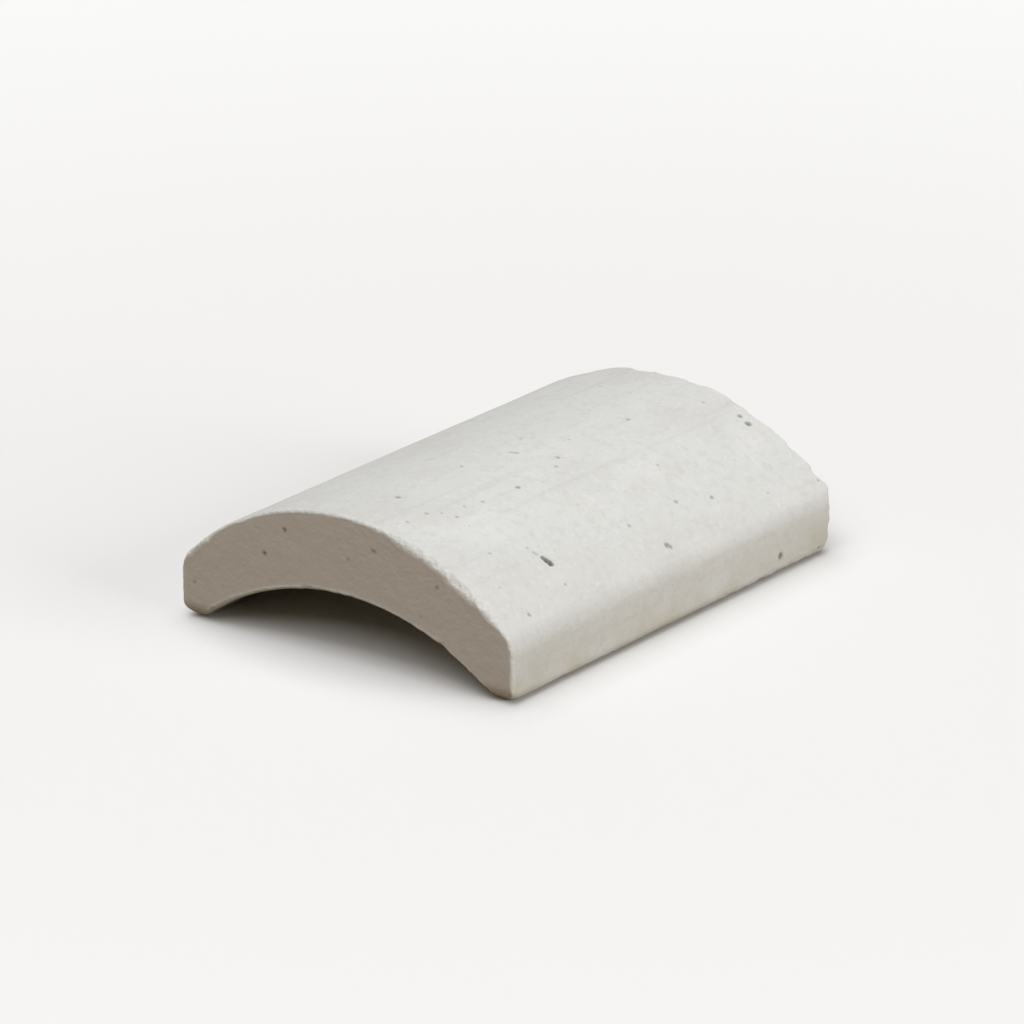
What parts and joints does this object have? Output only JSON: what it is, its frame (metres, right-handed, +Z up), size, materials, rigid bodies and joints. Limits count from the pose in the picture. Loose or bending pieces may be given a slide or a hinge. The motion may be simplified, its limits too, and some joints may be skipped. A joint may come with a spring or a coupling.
{
  "type": "clay roof tile",
  "caption": "Small thick-walled barrel roof tile: an arched length of pale cast clay body with a nesting crown and hollow, standing on two narrow feet.",
  "frame": {"origin": "on the plane of the feet, in the middle of the tile", "axes": "+Z up from the feet to the crown, +Y along the tile, +X across it"},
  "size_m": [0.034, 0.045, 0.0125],
  "materials": {
    "clay_body": "matt unglazed cast clay body, pale grey"
  },
  "bodies": {
    "root": {"barrel_tile": "clay_body"}
  },
  "joints": []
}
